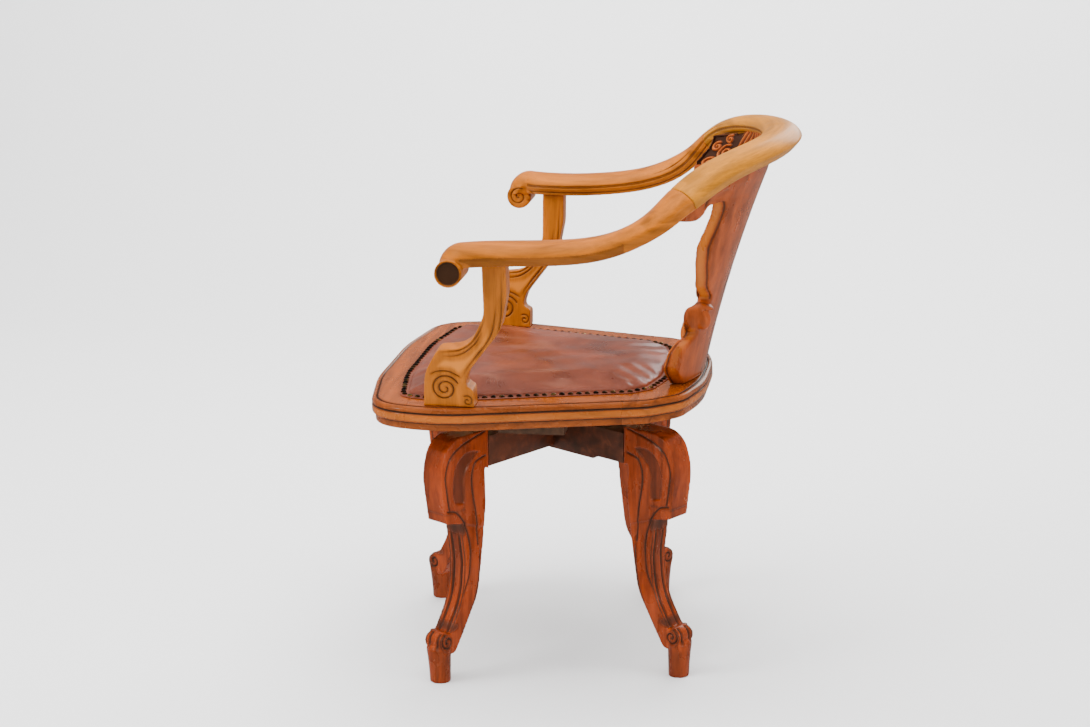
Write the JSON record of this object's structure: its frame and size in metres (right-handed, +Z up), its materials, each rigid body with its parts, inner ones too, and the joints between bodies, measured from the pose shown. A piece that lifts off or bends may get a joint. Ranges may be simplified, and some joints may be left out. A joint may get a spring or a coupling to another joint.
{
  "type": "swivel office chair",
  "caption": "Carved wooden revolving desk armchair: four-legged cross base, iron swivel, nailed leather pad, scrolled horseshoe arms and a curved carved back splat.",
  "frame": {"origin": "on the floor, under the middle of the chair's box with the seat at rest; the swivel axis is 60.9 mm in front of it", "axes": "+Z up, the sitter faces -Y, +X is the sitter's left"},
  "size_m": [0.617, 0.621, 0.8045],
  "materials": {
    "leg_wood": "polished carved mahogany, red-brown",
    "cross_wood": "waxed dark walnut",
    "frame_wood": "polished mahogany, orange-brown",
    "arm_wood": "polished honey mahogany",
    "splat_wood": "polished carved mahogany, red-brown",
    "board_wood": "planed beech",
    "dowel_wood": "plain beech",
    "swivel_iron": "blackened iron",
    "steel": "bright steel",
    "bush_brass": "turned brass",
    "leather": "worn glossy oxblood leather",
    "nail_brass": "antiqued brass",
    "webbing": "jute",
    "stuffing": "hair and wadding"
  },
  "bodies": {
    "base": {"leg_front_left": "leg_wood", "leg_front_right": "leg_wood", "leg_rear_left": "leg_wood", "leg_rear_right": "leg_wood", "leg_dowels": "dowel_wood", "cross_rail_lower": "cross_wood", "cross_rail_upper": "cross_wood", "lower_swivel_plate": "swivel_iron", "lower_plate_screws": "steel", "pivot_bush": "bush_brass", "thrust_washer": "steel"},
    "seat": {"upper_swivel_plate": "swivel_iron", "upper_plate_screws": "steel", "spindle": "steel", "retaining_washer": "steel", "retaining_nut": "steel", "seat_board": "board_wood", "seat_board_screws": "steel", "seat_rail_front": "frame_wood", "seat_rail_rear": "frame_wood", "seat_rail_left": "frame_wood", "seat_rail_right": "frame_wood", "seat_frame_dowels": "dowel_wood", "webbing_front_to_back": "webbing", "webbing_side_to_side": "webbing", "seat_stuffing": "stuffing", "seat_leather": "leather", "seat_nails": "nail_brass", "arm_support_left": "arm_wood", "arm_support_right": "arm_wood", "support_dowels": "dowel_wood", "arm_left": "arm_wood", "arm_right": "arm_wood", "crest_rail": "arm_wood", "crest_dowels": "dowel_wood", "back_splat": "splat_wood", "splat_foot_dowels": "dowel_wood", "splat_head_dowels": "dowel_wood"}
  },
  "joints": [
    {"name": "seat_swivel", "type": "hinge", "parent": "base", "child": "seat", "pos_m": [0, -0.0609, 0.37], "axis": [0, 0, 1], "continuous": true}
  ]
}
